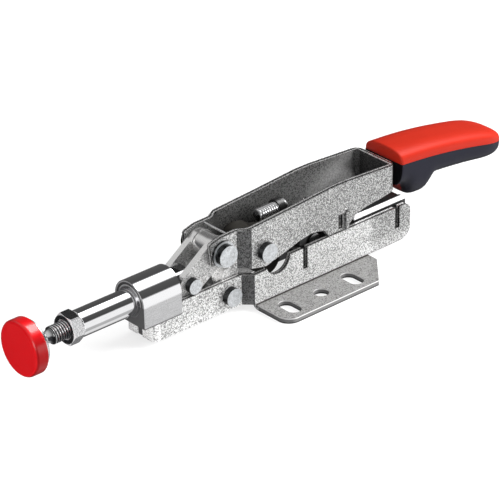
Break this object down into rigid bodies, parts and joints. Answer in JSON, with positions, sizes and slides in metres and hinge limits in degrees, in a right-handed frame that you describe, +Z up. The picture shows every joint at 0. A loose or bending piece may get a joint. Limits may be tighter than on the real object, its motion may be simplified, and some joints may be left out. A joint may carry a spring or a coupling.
{
  "type": "toggle clamp",
  "caption": "In-line toggle clamp with a sliding plunger, swivel pad, hinged handle with a two-tone grip, and slotted side flanges.",
  "frame": {"origin": "midway between the two middle flange holes, on the plane of the flanges' undersides", "axes": "+X along the plunger from the pad towards the grip, +Z up from the mounting plane, +Y across the clamp"},
  "size_m": [0.2765, 0.067, 0.0449],
  "materials": {
    "zinc_sheet": "bright zinc plated stamped sheet with a fine sandy grain",
    "block_steel": "satin sides with a polished arched top",
    "polished_steel": "ground and polished",
    "rivet_steel": "bright plated rivet",
    "link_steel": "plated, lightly grained",
    "dark_steel": "dark phosphated",
    "red_vinyl": "soft satin vinyl",
    "red_grip": "satin moulded plastic",
    "dark_grip": "soft matt moulded plastic"
  },
  "bodies": {
    "frame": {"frame_left": "zinc_sheet", "frame_right": "zinc_sheet", "guide_block": "block_steel", "frame_pin": "rivet_steel", "anchor_housing": "dark_steel", "carriage_spring": "polished_steel"},
    "lever": {"support_lever": "link_steel"},
    "handle": {"handle_channel": "zinc_sheet", "handle_pin": "rivet_steel", "handle_pin_washers": "rivet_steel", "rear_pin": "rivet_steel", "cross_wire": "polished_steel", "screw_trunnion": "dark_steel", "grip_shell_upper": "red_grip", "grip_shell_lower": "dark_grip"},
    "force_screw": {"adjusting_screw": "polished_steel"},
    "strut": {"strut": "link_steel", "anchor_pin": "polished_steel"},
    "plunger": {"plunger": "polished_steel"},
    "links": {"front_link_left": "link_steel", "front_link_right": "link_steel", "link_pin": "rivet_steel"},
    "spindle": {"spindle": "polished_steel"},
    "nut": {"lock_nut": "link_steel"},
    "pad": {"pad_disc": "link_steel", "pad_cap": "red_vinyl"},
    "carriage": {"adjusting_carriage": "link_steel", "locking_wedge": "polished_steel"}
  },
  "joints": [
    {"name": "lever_swing", "type": "hinge", "parent": "frame", "child": "lever", "pos_m": [-0.0388, 0, 0.0097], "axis": [0, -1, 0], "range_deg": [-45.2, 0]},
    {"name": "handle_swing", "type": "hinge", "parent": "lever", "child": "handle", "pos_m": [-0.04268, 0, 0.03151], "axis": [0, -1, 0], "range_deg": [0, 103.87]},
    {"name": "strut_swing", "type": "hinge", "parent": "handle", "child": "strut", "pos_m": [-0.02109, 0, 0.02592], "axis": [0, -1, 0], "range_deg": [-99.42, 0]},
    {"name": "plunger_slide", "type": "slide", "parent": "frame", "child": "plunger", "axis": [1, 0, 0], "range_m": [0, 0.0153]},
    {"name": "link_swing", "type": "hinge", "parent": "plunger", "child": "links", "pos_m": [-0.05779, 0, 0.021], "axis": [0, -1, 0], "range_deg": [-9.32, 0]},
    {"name": "spindle_adjust", "type": "slide", "parent": "plunger", "child": "spindle", "axis": [-1, 0, 0], "range_m": [-0.005, 0.012]},
    {"name": "nut_turn", "type": "hinge", "parent": "plunger", "child": "nut", "pos_m": [-0.11799, 0, 0.021], "axis": [1, 0, 0], "continuous": true},
    {"name": "pad_tilt", "type": "hinge", "parent": "spindle", "child": "pad", "pos_m": [-0.13849, 0, 0.021], "axis": [0, 1, 0], "range_deg": [-6, 6]},
    {"name": "force_screw_turn", "type": "hinge", "parent": "handle", "child": "force_screw", "pos_m": [-0.0028, 0, 0.03542], "axis": [1, 0, 0], "continuous": true},
    {"name": "carriage_slide", "type": "slide", "parent": "frame", "child": "carriage", "axis": [1, 0, 0], "range_m": [0, 0.008], "stiffness_N_per_m": 400, "springref_m": -0.002, "deforming": ["carriage_spring"]}
  ],
  "couplings": [
    {"joint": "lever_swing", "follows": "handle_swing", "ratio": -0.43325},
    {"joint": "strut_swing", "follows": "handle_swing", "ratio": -0.95527},
    {"joint": "plunger_slide", "follows": "handle_swing", "m_per_rad": 0.008431},
    {"joint": "link_swing", "follows": "handle_swing", "ratio": -0.08784}
  ]
}
